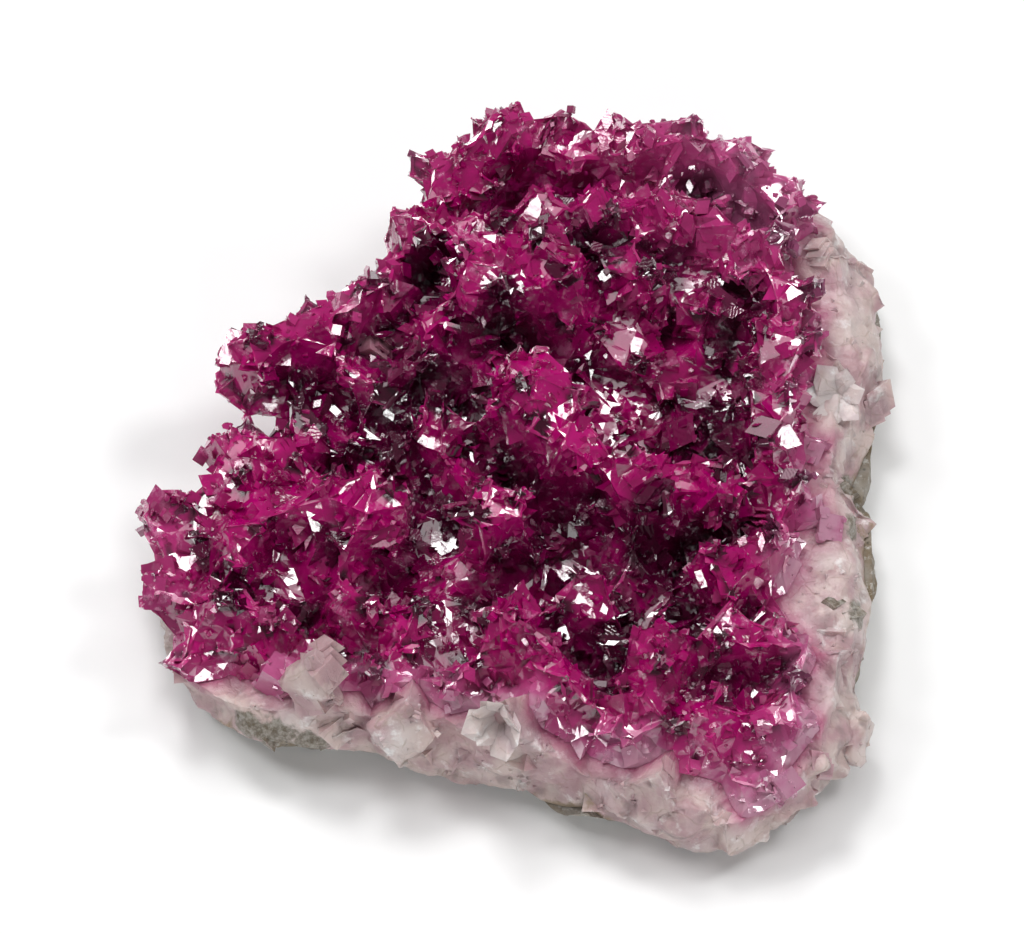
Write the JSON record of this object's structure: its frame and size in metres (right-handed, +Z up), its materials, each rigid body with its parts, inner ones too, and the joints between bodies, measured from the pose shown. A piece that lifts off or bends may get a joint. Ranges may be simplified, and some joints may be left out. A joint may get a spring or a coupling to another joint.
{
  "type": "roselite specimen",
  "caption": "Hand-sized mineral specimen: a druse of deep magenta crystal rosettes on a pale calcite band and a thin layer of host rock, cut flat underneath to lie on its back.",
  "frame": {"origin": "under the middle of the specimen's box, on the flat cut that it lies on", "axes": "+X towards the pale wall on the specimen's right, +Y towards its far ridge, +Z up, out of the crystal side"},
  "size_m": [0.0814, 0.088, 0.0262],
  "materials": {
    "host_rock": "rough, grey-brown",
    "calcite_band": "waxy to glassy, pale pinkish grey, half-clear",
    "roselite_druse": "glassy, deep magenta, clear in thin edges"
  },
  "bodies": {
    "root": {"host_rock": "host_rock", "calcite_band": "calcite_band", "roselite_druse": "roselite_druse"}
  },
  "joints": []
}
